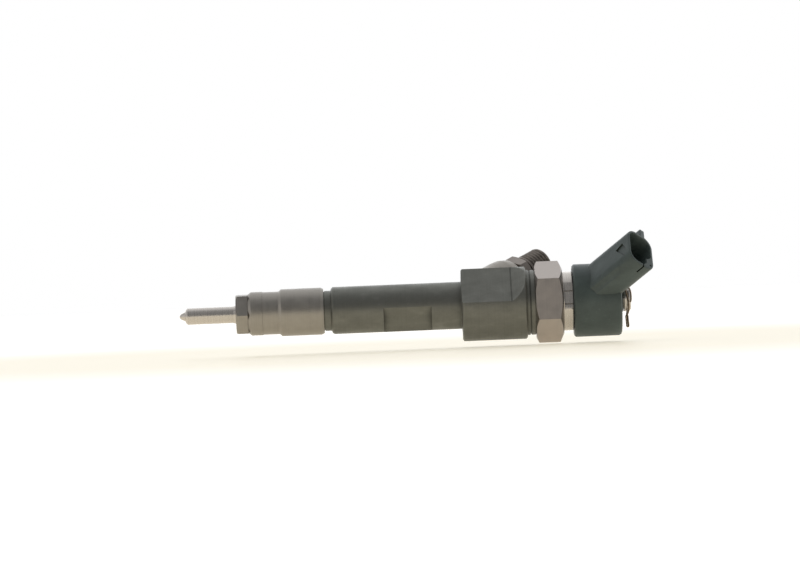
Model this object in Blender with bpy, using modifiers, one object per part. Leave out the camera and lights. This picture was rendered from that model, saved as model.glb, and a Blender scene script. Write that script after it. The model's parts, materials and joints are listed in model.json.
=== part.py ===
"""Common-rail fuel injector with a solenoid control valve, as an assembly of separate pieces.

The injector lies along X. Its nozzle points to -X, its fuel return spigot to +X, and +Z is up.
A station is a distance along the injector's axis from the nozzle's tip. A turned piece is given by
its outside and its inside, each a list of (station, radius) from the nozzle end to the spigot end.
All lengths in this file are millimetres, and MM turns them into metres.
"""

import math

import bmesh
import bpy
from mathutils import Matrix, Vector

MM = 0.001
GAP = 0.3
SEGMENTS = 32
INNER_SEGMENTS = 24
COIL_POINTS_PER_TURN = 10
MERGE_DISTANCE = 1e-6
SHARP_ANGLE = math.radians(35)

# Main stations along the axis.
NUT_FRONT = 24.2
NUT_REAR = 61.5
TUBE_FRONT = 64.8
HEAD_FRONT = 120.2
HEAD_REAR = 147.7
COLLAR_REAR = 151.2
COUPLING_FRONT = 151.5
COUPLING_REAR = 163.2
SLEEVE_REAR = 167.2
HOUSING_REAR = 187.8
SPIGOT_REAR = 192.0

# Main radii.
NOZZLE_R = 3.5
NOZZLE_FLANGE_R = 7.15
NUT_HEX_R = 9.24
NUT_R = 10.0
STUB_R = 8.2
TUBE_R = 10.02
HEAD_R = 15.36
COLLAR_R = 13.8
COUPLING_HEX_R = 17.35
SLEEVE_R = 12.53
HOUSING_R = 15.45
SPIGOT_R = 5.4
SPRING_CHAMBER_R = 3.9
PISTON_BORE_R = 2.6
VALVE_CHAMBER_R = 9.0
PIN_R = 0.85
PIN_OFFSET = 5.6
SLEEVE_BORE_R = 11.6
RETURN_DUCT_R = 1.6

# Angles about the axis, counted from +Y towards +Z.
NUT_HEX_ANGLE = math.radians(3.7)
COUPLING_HEX_ANGLE = math.radians(25)
TUBE_FLAT_ANGLE = math.radians(223)
HEAD_FLAT_ANGLE = math.radians(134)

# Milled flats.
TUBE_FLAT_SPAN = (86.8, 107.2)
TUBE_FLAT_DISTANCE = 7.2
HEAD_FLAT_END = 141.5
HEAD_FLAT_DISTANCE = 11.4
HEAD_FLAT_RUNOUT = 4.5

# High-pressure inlet, along its own axis from where that meets the injector's axis.
INLET_STATION = 121.8
INLET_TILT = math.radians(43)
INLET_ANGLE = math.radians(31.7)
INLET_HEX_ANGLE = math.radians(52.9)
BOSS_R = 10.4
BOSS_END = 28.3
BOSS_END_R = 8.9
UNION_STUB_R = 4.5
UNION_HEX_R = 8.66
UNION_THREAD_R = 7.0
UNION_END = 46.5

# Electrical connector, along its own axis from where that meets the injector's axis.
CONNECTOR_STATION = 170.2
CONNECTOR_TILT = math.radians(47.3)
CONNECTOR_ANGLE = math.radians(134)
CONNECTOR_START = 8.0
CONNECTOR_MOUTH = 38.4
CONNECTOR_HALF = (6.9, 9.5)
CONNECTOR_CORNER = 5.0
SOCKET_FLOOR = 24.4
SOCKET_CORNER = 3.5
# The socket is a full-width part and a narrower one, which leaves a key in its corner.
SOCKET_BROAD_HALF = (5.7, 5.65)
SOCKET_BROAD_MIDDLE = (0.1, -2.35)
SOCKET_NARROW_HALF = (4.3, 8.0)
SOCKET_NARROW_MIDDLE = (1.5, 0.0)
TERMINAL_SPACING = 5.2
TERMINAL_OFFSET = 0.6
TERMINAL_SIZE = (13.5, 2.4, 0.8)
TERMINAL_MIDDLE = 25.6

# Colours, roughness and metallic values.
FINISHES = {
    "bright_steel": ((0.62, 0.59, 0.55), 0.28, 1.0),
    "satin_steel": ((0.36, 0.34, 0.31), 0.42, 1.0),
    "phosphated_steel": ((0.16, 0.16, 0.155), 0.55, 0.9),
    "warm_steel": ((0.42, 0.37, 0.34), 0.38, 1.0),
    "hard_steel": ((0.5, 0.5, 0.5), 0.2, 1.0),
    "spring_steel": ((0.25, 0.24, 0.22), 0.35, 1.0),
    "clip_wire": ((0.28, 0.22, 0.15), 0.35, 1.0),
    "magnet_iron": ((0.3, 0.3, 0.31), 0.5, 1.0),
    "copper": ((0.72, 0.4, 0.22), 0.3, 1.0),
    "brass": ((0.7, 0.55, 0.28), 0.3, 1.0),
    "housing_plastic": ((0.055, 0.075, 0.07), 0.5, 0.0),
    "bobbin_plastic": ((0.5, 0.46, 0.36), 0.5, 0.0),
    "rubber": ((0.02, 0.02, 0.02), 0.7, 0.0),
}


def clear_scene():
    for obj in list(bpy.data.objects):
        bpy.data.objects.remove(obj)


def add_collection(name):
    collection = bpy.data.collections.new(name)
    bpy.context.scene.collection.children.link(collection)
    return collection


def add_material(name):
    colour, roughness, metallic = FINISHES[name]
    material = bpy.data.materials.new(name)
    material.use_nodes = True
    shader = material.node_tree.nodes["Principled BSDF"]
    shader.inputs["Base Color"].default_value = (*colour, 1.0)
    shader.inputs["Roughness"].default_value = roughness
    shader.inputs["Metallic"].default_value = metallic
    return material


def add_axis(name, station=0.0, tilt=0.0, angle=0.0, parent=None):
    """An empty whose local X leaves the parent's axis at this tilt, at this angle about it."""
    empty = bpy.data.objects.new(name, None)
    empty.empty_display_size = 10 * MM
    empty.rotation_mode = "ZYX"
    empty.rotation_euler = (angle, 0.0, tilt)
    empty.location.x = station * MM
    empty.parent = parent
    PARTS.objects.link(empty)
    return empty


def place(obj, parent, finish):
    """Puts an object among the parts, or among the cutters when it has no finish."""
    obj.parent = parent
    if finish is None:
        CUTTERS.objects.link(obj)
        obj.hide_render = True
        obj.display_type = "WIRE"
        return obj
    PARTS.objects.link(obj)
    obj.data.materials.append(MATERIALS[finish])
    return obj


def turned(name, outside, inside=None, finish=None, parent=None, segments=SEGMENTS):
    """A turned solid. A list of points that starts or ends at radius 0 closes on the axis."""
    outer = list(reversed(outside))
    inner = list(inside or [])
    points = inner + outer if inner and outside[0][1] == 0 else outer + inner
    closed = points[0][1] > 0 and points[-1][1] > 0
    mesh = bpy.data.meshes.new(name)
    edges = [(i, i + 1) for i in range(len(points) - 1)]
    if closed:
        edges.append((len(points) - 1, 0))
    mesh.from_pydata([(x * MM, r * MM, 0.0) for x, r in points], edges, [])
    obj = bpy.data.objects.new(name, mesh)
    screw = obj.modifiers.new("turn", "SCREW")
    screw.axis = "X"
    screw.steps = segments
    screw.render_steps = segments
    screw.use_merge_vertices = True
    screw.merge_threshold = MERGE_DISTANCE
    screw.use_smooth_shade = True
    return place(obj, parent or AXIS, finish)


def ring(name, start, end, inner_r, outer_r, finish, segments=INNER_SEGMENTS, parent=None):
    outside = [(start, outer_r), (end, outer_r)]
    inside = [(start, inner_r), (end, inner_r)]
    return turned(name, outside, inside, finish, parent, segments)


def rod(name, start, end, radius, finish=None, parent=None, segments=INNER_SEGMENTS):
    outside = [(start, 0), (start, radius), (end, radius), (end, 0)]
    return turned(name, outside, None, finish, parent, segments)


def o_ring(name, station, radius, wire_r, finish, segments=SEGMENTS, points=8):
    """A torus, turned from a circle that runs from the outside round to the inside."""
    turns = [2 * math.pi * i / points for i in range(points)]
    circle = [(station - wire_r * math.sin(t), radius + wire_r * math.cos(t)) for t in turns]
    return turned(name, list(reversed(circle)), None, finish, None, segments)


def box(name, middle, size, finish=None, parent=None):
    mesh = bpy.data.meshes.new(name)
    shape = bmesh.new()
    bmesh.ops.create_cube(shape, size=1.0, matrix=Matrix.Diagonal((*(Vector(size) * MM), 1.0)))
    shape.to_mesh(mesh)
    shape.free()
    obj = bpy.data.objects.new(name, mesh)
    obj.location = Vector(middle) * MM
    return place(obj, parent or AXIS, finish)


def plate(name, outline, thickness, matrix, finish=None, parent=None):
    """A flat outline, extruded evenly to both sides and made a mesh, so that it can cut."""
    curve = bpy.data.curves.new(name + "_outline", "CURVE")
    curve.dimensions = "2D"
    curve.fill_mode = "BOTH"
    curve.extrude = thickness / 2 * MM
    spline = curve.splines.new("POLY")
    spline.points.add(len(outline) - 1)
    for point, (x, y) in zip(spline.points, outline):
        point.co = (x * MM, y * MM, 0.0, 1.0)
    spline.use_cyclic_u = True
    guide = bpy.data.objects.new(name + "_guide", curve)
    PARTS.objects.link(guide)
    bpy.context.view_layer.update()
    evaluated = guide.evaluated_get(bpy.context.evaluated_depsgraph_get())
    mesh = bpy.data.meshes.new_from_object(evaluated)
    bpy.data.objects.remove(guide)
    shape = bmesh.new()
    shape.from_mesh(mesh)
    bmesh.ops.remove_doubles(shape, verts=shape.verts, dist=MERGE_DISTANCE)
    bmesh.ops.recalc_face_normals(shape, faces=shape.faces)
    shape.to_mesh(mesh)
    shape.free()
    mesh.materials.clear()
    obj = bpy.data.objects.new(name, mesh)
    obj.matrix_local = matrix
    return place(obj, parent or AXIS, finish)


def rounded_outline(half_x, half_y, corner, steps=4):
    """The points of a rectangle with round corners, anticlockwise."""
    points = []
    for quarter in range(4):
        sign_x = (1, -1, -1, 1)[quarter]
        sign_y = (1, 1, -1, -1)[quarter]
        for step in range(steps + 1):
            turn = math.pi / 2 * (quarter + step / steps)
            x = sign_x * (half_x - corner) + corner * math.cos(turn)
            y = sign_y * (half_y - corner) + corner * math.sin(turn)
            points.append((x, y))
    return points


def wire(name, points, wire_r, finish, parent=None):
    curve = bpy.data.curves.new(name, "CURVE")
    curve.dimensions = "3D"
    curve.bevel_depth = wire_r * MM
    curve.bevel_resolution = 2
    curve.use_fill_caps = True
    spline = curve.splines.new("POLY")
    spline.points.add(len(points) - 1)
    for point, place_of in zip(spline.points, points):
        point.co = (*(Vector(place_of) * MM), 1.0)
    return place(bpy.data.objects.new(name, curve), parent or AXIS, finish)


def coil_spring(name, start, end, radius, wire_r, turns, finish):
    """A compression spring between two wire centre stations."""
    count = int(turns * COIL_POINTS_PER_TURN)
    points = []
    for i in range(count + 1):
        turn = 2 * math.pi * turns * i / count
        station = start + (end - start) * i / count
        points.append((station, radius * math.cos(turn), radius * math.sin(turn)))
    return wire(name, points, wire_r, finish)


def boolean(target, tool, operation):
    modifier = target.modifiers.new(tool.name, "BOOLEAN")
    modifier.operation = operation
    modifier.object = tool
    modifier.solver = "EXACT"
    return target


def cut(target, *tools):
    for tool in tools:
        boolean(target, tool, "DIFFERENCE")


def join(target, *tools):
    for tool in tools:
        boolean(target, tool, "UNION")


def hexagon_cutter(name, start, end, corner_r, angle, parent=None):
    """A ring whose hole is a hexagon: it mills six flats on a round blank."""
    far = 3 * corner_r
    outside = [(start, far), (end, far)]
    inside = [(start, corner_r), (end, corner_r)]
    cutter = turned(name, outside, inside, None, parent, 6)
    cutter.rotation_euler.x = angle
    return cutter


def off_axis(obj, radius, angle):
    """Moves a piece sideways from the injector's axis."""
    obj.location.y = radius * math.cos(angle) * MM
    obj.location.z = radius * math.sin(angle) * MM
    return obj


def add_nozzle():
    tip = [(0.0, 0.0), (0.25, 0.75), (1.0, 1.32), (2.5, 2.04), (2.7, 2.8), (3.5, NOZZLE_R)]
    shaft = [(22.9, NOZZLE_R), (24.0, 3.9), (26.9, 3.9)]
    flange = [(26.9, NOZZLE_FLANGE_R), (41.5, NOZZLE_FLANGE_R)]
    seat = [(2.0, 0.0), (4.2, 1.75), (27.5, 1.75)]
    chamber = [(28.5, 4.2), (31.5, 4.2), (32.5, 2.3), (41.5, 2.3)]
    body = turned("nozzle_body", tip + shaft + flange, seat + chamber, "bright_steel")

    needle = [(2.6, 0), (4.3, 1.35), (29.0, 1.35), (30.5, 2.0), (41.2, 2.0)]
    spigot = [(41.2, 1.3), (42.6, 1.3), (42.6, 0)]
    turned("nozzle_needle", needle + spigot, None, "hard_steel", None, INNER_SEGMENTS)
    return body


def add_locating_pins(*targets):
    """Two pins that turn the nozzle to its place on the body, in holes of both."""
    for name, angle in (("locating_pin_a", math.radians(43)), ("locating_pin_b", math.radians(223))):
        off_axis(rod(name, 39.6, 43.7, PIN_R, "hard_steel", None, 12), PIN_OFFSET, angle)
        hole = off_axis(rod(name + "_hole", 39.3, 44.0, PIN_R + GAP, None, None, 12), PIN_OFFSET, angle)
        for target in targets:
            cut(target, hole)


def add_nozzle_nut():
    hexagon = [(NUT_FRONT, 8.4), (24.9, NUT_HEX_R), (29.2, NUT_HEX_R)]
    shoulder = [(29.2, 8.1), (30.6, 9.25), (35.5, 9.25), (35.5, 9.06), (42.4, 9.06)]
    barrel = [(43.5, NUT_R), (61.1, NUT_R), (NUT_REAR, 9.6)]
    bore = [(NUT_FRONT, 4.25), (26.6, 4.25), (26.6, 7.5), (42.3, 7.5), (42.3, 8.5), (NUT_REAR, 8.5)]
    nut = turned("nozzle_nut", hexagon + shoulder + barrel, bore, "satin_steel")
    cut(nut, hexagon_cutter("nut_flats", NUT_FRONT - 1, 29.2, NUT_HEX_R, NUT_HEX_ANGLE))


def milled_flat(name, span, distance, angle):
    """A box cutter whose inner face lies at this distance from the axis, facing this angle."""
    depth = 10.0
    cutter = box(name, (0, 0, 0), (span[1] - span[0], depth, 40.0))
    off_axis(cutter, distance + depth / 2, angle)
    cutter.location.x = (span[0] + span[1]) / 2 * MM
    cutter.rotation_euler.x = angle
    return cutter


def head_flat_cutter():
    """The flat on the head, with the round run-out that the cutter leaves at its end."""
    top = HEAD_FLAT_DISTANCE + 10
    steps = 4
    corner_x = HEAD_FLAT_END + HEAD_FLAT_RUNOUT
    outline = [(HEAD_FRONT - 1, top), (HEAD_FRONT - 1, HEAD_FLAT_DISTANCE)]
    for step in range(steps + 1):
        turn = math.pi / 2 * step / steps
        x = HEAD_FLAT_END + HEAD_FLAT_RUNOUT * math.sin(turn)
        y = HEAD_FLAT_DISTANCE + HEAD_FLAT_RUNOUT * (1 - math.cos(turn))
        outline.append((x, y))
    outline.append((corner_x, top))
    return plate("head_flat", outline, 50.0, Matrix.Rotation(HEAD_FLAT_ANGLE, 4, "X"))


def add_injector_body():
    stub = [(41.8, NOZZLE_FLANGE_R), (42.8, NOZZLE_FLANGE_R), (42.8, STUB_R), (61.9, STUB_R)]
    groove = [(61.9, 8.53), (TUBE_FRONT, 8.53)]
    tube = [(TUBE_FRONT, 9.4), (65.4, TUBE_R), (HEAD_FRONT, TUBE_R)]
    head = [(HEAD_FRONT, 14.9), (120.7, HEAD_R), (147.2, HEAD_R), (HEAD_REAR, 14.9)]
    collar = [(HEAD_REAR, COLLAR_R), (COLLAR_REAR, COLLAR_R), (COLLAR_REAR, 13.45), (156.5, 13.45)]
    spring_chamber = [(41.8, SPRING_CHAMBER_R), (64.1, SPRING_CHAMBER_R)]
    piston_bore = [(64.1, PISTON_BORE_R), (124.0, PISTON_BORE_R)]
    pressure_chamber = [(124.0, 4.9), (138.0, 4.9)]
    valve_chamber = [(138.0, VALVE_CHAMBER_R), (150.0, VALVE_CHAMBER_R)]
    sleeve_bore = [(150.0, SLEEVE_BORE_R), (156.5, SLEEVE_BORE_R)]
    outside = stub + groove + tube + head + collar
    inside = spring_chamber + piston_bore + pressure_chamber + valve_chamber + sleeve_bore
    body = turned("injector_body", outside, inside, "phosphated_steel")

    boss_side = [(7.5, BOSS_R), (21.2, BOSS_R), (24.7, BOSS_R - 0.3), (BOSS_END, BOSS_END_R)]
    boss = [(7.5, 0)] + boss_side + [(BOSS_END, 0)]
    join(body, turned("inlet_boss", boss, None, None, INLET))
    stub_bore = rod("union_bore", 22.0, BOSS_END + 1, UNION_STUB_R + GAP, None, INLET)
    spot_face = rod("spot_face", BOSS_END, BOSS_END + 8, BOSS_R + GAP, None, INLET, SEGMENTS)
    cut(body, rod("valve_chamber_clearing", 138.0, 149.0, VALVE_CHAMBER_R, None, None, SEGMENTS))
    cut(body, rod("pressure_chamber_clearing", 125.0, 139.0, 4.9, None, None, SEGMENTS))
    cut(body, spot_face, stub_bore, rod("inlet_passage", 5.5, 22.3, 1.6, None, INLET, 12))
    duct = off_axis(rod("fuel_duct", 41.0, 126.0, 1.2, None, None, 12), 5.9, math.radians(133))
    cut(body, duct)
    for index in range(2):
        angle = TUBE_FLAT_ANGLE + index * math.pi
        cut(body, milled_flat(f"tube_flat_{index}", TUBE_FLAT_SPAN, TUBE_FLAT_DISTANCE, angle))
    cut(body, head_flat_cutter())
    return body


def add_needle_train():
    pin = [(42.9, 0), (42.9, 3.4), (44.9, 3.4), (44.9, 1.55), (50.0, 1.55), (50.0, 0)]
    turned("pressure_pin", pin, None, "hard_steel", None, INNER_SEGMENTS)
    piston = [(50.3, 0), (50.3, 1.7), (64.8, 1.7), (66.2, 2.15), (137.5, 2.15), (137.5, 0)]
    turned("control_piston", piston, None, "hard_steel", None, INNER_SEGMENTS)
    coil_spring("nozzle_spring", 45.75, 61.45, 2.75, 0.5, 6.5, "spring_steel")
    ring("nozzle_spring_shim", 62.3, 63.8, 2.1, 3.5, "hard_steel")


def add_inlet():
    stub = [(22.3, UNION_STUB_R), (29.6, UNION_STUB_R)]
    collar = [(29.6, 7.9), (30.2, UNION_HEX_R), (33.8, UNION_HEX_R), (34.4, 7.9), (34.4, 6.1)]
    thread = [(35.6, 6.1), (36.1, UNION_THREAD_R), (UNION_END - 0.7, UNION_THREAD_R), (UNION_END, 6.3)]
    bore = [(22.3, 2.2), (UNION_END - 2, 2.2), (UNION_END, 4.2)]
    union = turned("inlet_union", stub + collar + thread, bore, "warm_steel", INLET)
    flats = hexagon_cutter("union_flats", 28.7, 35.0, UNION_HEX_R, INLET_HEX_ANGLE, INLET)
    cut(union, flats)
    ring("inlet_seal_ring", 28.6, 29.3, 4.8, 6.6, "copper", INNER_SEGMENTS, INLET)
    rod("edge_filter", 23.7, 41.7, 1.85, "hard_steel", INLET, 16)


def add_control_valve():
    sleeve = [(124.6, 3.6), (138.3, 3.6), (138.3, 8.6), (142.3, 8.6)]
    bore = [(124.6, 2.45), (139.0, 2.45), (139.0, 0.4), (141.3, 0.4), (142.3, 1.1)]
    turned("valve_piece", sleeve, bore, "hard_steel", None, INNER_SEGMENTS)
    ring("valve_seal_ring", 136.2, 137.6, 3.95, 4.6, "bobbin_plastic")

    mesh = bpy.data.meshes.new("valve_ball")
    shape = bmesh.new()
    bmesh.ops.create_uvsphere(shape, u_segments=12, v_segments=8, radius=0.7 * MM)
    shape.to_mesh(mesh)
    shape.free()
    ball = place(bpy.data.objects.new("valve_ball", mesh), AXIS, "hard_steel")
    ball.location.x = 142.65 * MM
    rod("ball_holder", 143.65, 145.3, 1.3, "hard_steel", None, 16)

    guide = [(142.6, 8.4), (145.6, 8.4), (145.6, 3.0), (148.8, 3.0)]
    guide_bore = [(142.6, 2.0), (146.6, 2.0), (146.6, 1.6), (148.8, 1.6)]
    turned("armature_guide", guide, guide_bore, "satin_steel", None, INNER_SEGMENTS)
    clamp_nut = ring("valve_clamp_nut", 145.9, 149.4, 4.2, 8.6, "satin_steel")
    cut(clamp_nut, box("clamp_nut_slot", (149.4, 0, 0), (2.0, 3.0, 30.0)))


def add_armature():
    pin = [(145.6, 0), (145.6, 1.25), (153.1, 1.25), (153.1, 0.95), (154.1, 0.95), (154.1, 1.25)]
    spigot = [(155.6, 1.25), (155.6, 0.8), (156.6, 0.8), (156.6, 0)]
    turned("armature_pin", pin + spigot, None, "hard_steel", None, 16)
    plate_outside = [(150.9, 2.8), (151.6, 2.8), (151.6, 8.3), (152.9, 8.3)]
    plate_bore = [(150.9, 1.6), (152.9, 1.6)]
    armature = turned("armature_plate", plate_outside, plate_bore, "magnet_iron", None, INNER_SEGMENTS)
    for index in range(3):
        angle = math.radians(10 + 120 * index)
        slot = box(f"armature_slot_{index}", (0, 0, 0), (4.0, 4.0, 0.8))
        off_axis(slot, 7.2, angle)
        slot.location.x = 152.2 * MM
        slot.rotation_euler.x = angle
        cut(armature, slot)
    washer = ring("armature_c_washer", 153.2, 154.0, 1.55, 2.6, "spring_steel", 16)
    cut(washer, box("washer_mouth", (153.6, 0, -2.0), (2.0, 2.3, 4.0)))
    coil_spring("armature_spring", 149.35, 150.4, 2.1, 0.2, 2.0, "spring_steel")
    coil_spring("valve_spring", 154.7, 162.6, 2.25, 0.35, 5.5, "spring_steel")
    ring("valve_spring_shim", 163.3, 164.3, 1.2, 2.8, "hard_steel")


def add_magnet():
    ring("lift_shim", 150.3, 151.3, 9.3, 11.2, "hard_steel", SEGMENTS)
    groove = [(153.4, 7.8), (163.0, 7.8), (163.0, 4.8), (153.4, 4.8)]
    core_bore = [(153.4, 3.2), (164.6, 3.2), (164.6, RETURN_DUCT_R), (165.9, RETURN_DUCT_R)]
    core = [(153.4, 9.0), (165.9, 9.0)]
    turned("magnet_core", core, groove + core_bore, "magnet_iron", None, INNER_SEGMENTS)
    spool = [(153.9, 7.5), (154.7, 7.5), (154.7, 5.9), (161.9, 5.9), (161.9, 7.5), (162.7, 7.5)]
    turned("coil_bobbin", spool, [(153.9, 5.1), (162.7, 5.1)], "bobbin_plastic", None, INNER_SEGMENTS)
    ring("coil_winding", 155.0, 161.6, 6.2, 7.4, "copper")

    skirt = [(151.6, 11.25), (152.4, 11.25), (152.4, 9.95), (154.8, 9.95), (154.8, 11.25), (156.8, 11.25)]
    flange = [(156.8, 13.2), (160.2, 13.2), (160.2, SLEEVE_R), (SLEEVE_REAR, SLEEVE_R)]
    sleeve_bore = [(151.6, 9.3), (SLEEVE_REAR, 9.3)]
    turned("magnet_sleeve", skirt + flange, sleeve_bore, "bright_steel")
    o_ring("sleeve_o_ring", 153.6, 10.75, 0.5, "rubber")


def add_coupling_nut():
    outside = [
        (COUPLING_FRONT, 15.4),
        (152.5, COUPLING_HEX_R + 0.05),
        (161.5, COUPLING_HEX_R + 0.05),
        (COUPLING_REAR, 13.9),
    ]
    inside = [(COUPLING_FRONT, 13.8), (160.5, 13.8), (160.5, 12.85), (COUPLING_REAR, 12.85)]
    nut = turned("solenoid_nut", outside, inside, "warm_steel", None, 48)
    flats = hexagon_cutter(
        "coupling_flats", COUPLING_FRONT - 1, COUPLING_REAR + 1, COUPLING_HEX_R, COUPLING_HEX_ANGLE
    )
    cut(nut, flats)


def connector_plate(name, half, corner, start, end, across=(0.0, 0.0)):
    """A round-cornered block along the connector's axis, or beside it by two distances."""
    outline = rounded_outline(half[0], half[1], corner)
    middle = Vector(((start + end) / 2, *across)) * MM
    # The outline's X and Y lie along the connector's local Y and Z.
    turn = Matrix(((0, 0, 1, 0), (1, 0, 0, 0), (0, 1, 0, 0), (0, 0, 0, 1)))
    return plate(name, outline, end - start, Matrix.Translation(middle) @ turn, None, CONNECTOR)


def add_housing():
    plug = [(166.2, 8.9), (167.5, 8.9)]
    can = [(167.5, 14.9), (168.1, HOUSING_R), (186.6, HOUSING_R), (187.4, 15.1), (HOUSING_REAR, 14.3)]
    nose = [(HOUSING_REAR, 5.45), (188.8, 5.45)]
    duct = [(166.2, RETURN_DUCT_R), (179.0, RETURN_DUCT_R), (179.0, 4.3), (188.8, 4.3)]
    housing = turned("solenoid_housing", plug + can + nose, duct, "housing_plastic")
    body = connector_plate(
        "connector_body", CONNECTOR_HALF, CONNECTOR_CORNER, CONNECTOR_START, CONNECTOR_MOUTH
    )
    nub = box("coding_nub", (37.1, -1.85, -10.6), (2.6, 2.5, 5.2), None, CONNECTOR)
    join(housing, body, nub)
    past_mouth = CONNECTOR_MOUTH + 5
    broad = connector_plate(
        "socket_broad", SOCKET_BROAD_HALF, SOCKET_CORNER, SOCKET_FLOOR, past_mouth, SOCKET_BROAD_MIDDLE
    )
    narrow = connector_plate(
        "socket_narrow", SOCKET_NARROW_HALF, SOCKET_CORNER, SOCKET_FLOOR, past_mouth, SOCKET_NARROW_MIDDLE
    )
    clearing = rod("spigot_clearing", 179.0, 190.0, 4.3, None, None, SEGMENTS)
    cut(housing, broad, narrow, clearing)
    for side, name in ((-1, "terminal_pin_a"), (1, "terminal_pin_b")):
        middle = (TERMINAL_MIDDLE, TERMINAL_OFFSET, side * TERMINAL_SPACING / 2)
        box(name, middle, TERMINAL_SIZE, "brass", CONNECTOR)
        pocket = [size + 2 * GAP for size in TERMINAL_SIZE]
        cut(housing, box(name + "_pocket", middle, pocket, None, CONNECTOR))


def add_spigot():
    outside = [(179.3, 4.0), (189.1, 4.0), (189.1, SPIGOT_R), (191.2, SPIGOT_R), (SPIGOT_REAR, 4.7)]
    inside = [(179.3, RETURN_DUCT_R), (184.5, RETURN_DUCT_R), (184.5, 3.5), (SPIGOT_REAR, 3.5)]
    turned("return_spigot", outside, inside, "bright_steel")


def add_return_clip():
    """A wire fork that straddles the spigot: its two legs join in a doubled tail below."""
    wire_r = 0.36
    leg_y = SPIGOT_R + GAP + wire_r
    leg = [
        (190.0, 0.0, -11.5),
        (190.0, 0.0, -8.6),
        (190.2, 1.6, -7.4),
        (190.6, 4.0, -6.4),
        (191.0, 5.6, -5.0),
        (191.1, leg_y, -3.4),
        (190.4, leg_y, 0.0),
        (189.7, leg_y, 3.2),
        (189.8, leg_y - 0.1, 4.4),
        (190.6, leg_y - 0.1, 5.0),
    ]
    front = [(x, -y - 0.5, z) for x, y, z in reversed(leg)]
    back = [(x, y + 0.5, z) for x, y, z in leg]
    bend = [(190.0, -0.25, -12.0), (190.0, 0.25, -12.0)]
    points = [Vector(p) for p in front + bend + back]
    station = 190.0
    clip = wire("return_clip", [p - Vector((station, 0, 0)) for p in points], wire_r, "clip_wire")
    clip.location.x = station * MM


def settle_meshes():
    """Gives each part its finished mesh, smooth on round faces and sharp at real edges."""
    bpy.context.view_layer.update()
    graph = bpy.context.evaluated_depsgraph_get()
    parts = [obj for obj in PARTS.objects if obj.type == "MESH"]
    finished = {obj: bpy.data.meshes.new_from_object(obj.evaluated_get(graph)) for obj in parts}
    for obj, mesh in finished.items():
        obj.modifiers.clear()
        obj.data = mesh
        mesh.name = obj.name
        mesh.shade_smooth()
        mesh.set_sharp_from_angle(angle=SHARP_ANGLE)


def stand_on_origin():
    """Moves the assembly so that the world origin is under its middle, at its lowest point."""
    bpy.context.view_layer.update()
    graph = bpy.context.evaluated_depsgraph_get()
    corners = []
    for obj in PARTS.objects:
        if obj.type == "EMPTY":
            continue
        mesh = obj.evaluated_get(graph).to_mesh()
        corners += [obj.matrix_world @ vertex.co for vertex in mesh.vertices]
        obj.evaluated_get(graph).to_mesh_clear()
    low = Vector([min(corner[i] for corner in corners) for i in range(3)])
    high = Vector([max(corner[i] for corner in corners) for i in range(3)])
    AXIS.location = (-(low.x + high.x) / 2, -(low.y + high.y) / 2, -low.z)


clear_scene()
PARTS = add_collection("fuel_injector")
CUTTERS = add_collection("cutters")
MATERIALS = {name: add_material(name) for name in FINISHES}
AXIS = add_axis("injector_axis")
INLET = add_axis("inlet_axis", INLET_STATION, INLET_TILT, INLET_ANGLE, AXIS)
CONNECTOR = add_axis("connector_axis", CONNECTOR_STATION, CONNECTOR_TILT, CONNECTOR_ANGLE, AXIS)

nozzle = add_nozzle()
injector_body = add_injector_body()
add_locating_pins(nozzle, injector_body)
add_nozzle_nut()
add_needle_train()
add_inlet()
add_control_valve()
add_armature()
add_magnet()
add_coupling_nut()
add_housing()
add_spigot()
add_return_clip()
settle_meshes()
stand_on_origin()
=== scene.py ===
"""Looks of the common-rail fuel injector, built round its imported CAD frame.

Lengths along the injector are stations, in millimetres from the nozzle's tip, as in the CAD.
Radii are from the axis. MM turns them into metres. Every piece is made with its own axis along
local X.
"""

import json
import math

import bmesh
import bpy
from mathutils import Matrix, Vector


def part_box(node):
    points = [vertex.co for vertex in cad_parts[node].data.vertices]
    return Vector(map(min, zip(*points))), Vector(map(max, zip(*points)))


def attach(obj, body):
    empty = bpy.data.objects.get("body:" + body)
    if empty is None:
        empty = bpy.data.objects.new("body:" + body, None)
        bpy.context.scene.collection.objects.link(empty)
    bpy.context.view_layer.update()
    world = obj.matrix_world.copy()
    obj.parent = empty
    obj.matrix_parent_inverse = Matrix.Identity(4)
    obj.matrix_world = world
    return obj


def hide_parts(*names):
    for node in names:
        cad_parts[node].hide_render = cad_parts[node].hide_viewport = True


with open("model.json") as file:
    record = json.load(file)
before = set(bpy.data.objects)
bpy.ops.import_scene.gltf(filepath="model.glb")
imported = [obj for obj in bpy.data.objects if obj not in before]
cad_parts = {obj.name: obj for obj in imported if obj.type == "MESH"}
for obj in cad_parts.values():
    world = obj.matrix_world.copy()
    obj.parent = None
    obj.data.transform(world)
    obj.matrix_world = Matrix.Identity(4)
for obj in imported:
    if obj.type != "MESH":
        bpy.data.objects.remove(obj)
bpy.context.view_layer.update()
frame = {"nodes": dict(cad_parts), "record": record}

MM = 0.001
FULL_TURN = 2 * math.pi
SEGMENTS = 120
FINE_SEGMENTS = 144
FILLET_STEPS = 4
SHARP_ANGLE = math.radians(30)
EDGE_ANGLE = math.radians(40)

# Stations and radii that the CAD nodes give.
NOZZLE_LOW, NOZZLE_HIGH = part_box("nozzle_body")
TIP_X = NOZZLE_LOW.x
AXIS_Y = (NOZZLE_LOW.y + NOZZLE_HIGH.y) / 2
AXIS_Z = (NOZZLE_LOW.z + NOZZLE_HIGH.z) / 2


def station_of(x):
    return (x - TIP_X) / MM


def radius_of(node):
    low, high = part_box(node)
    return (high.z - low.z) / 2 / MM


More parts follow.
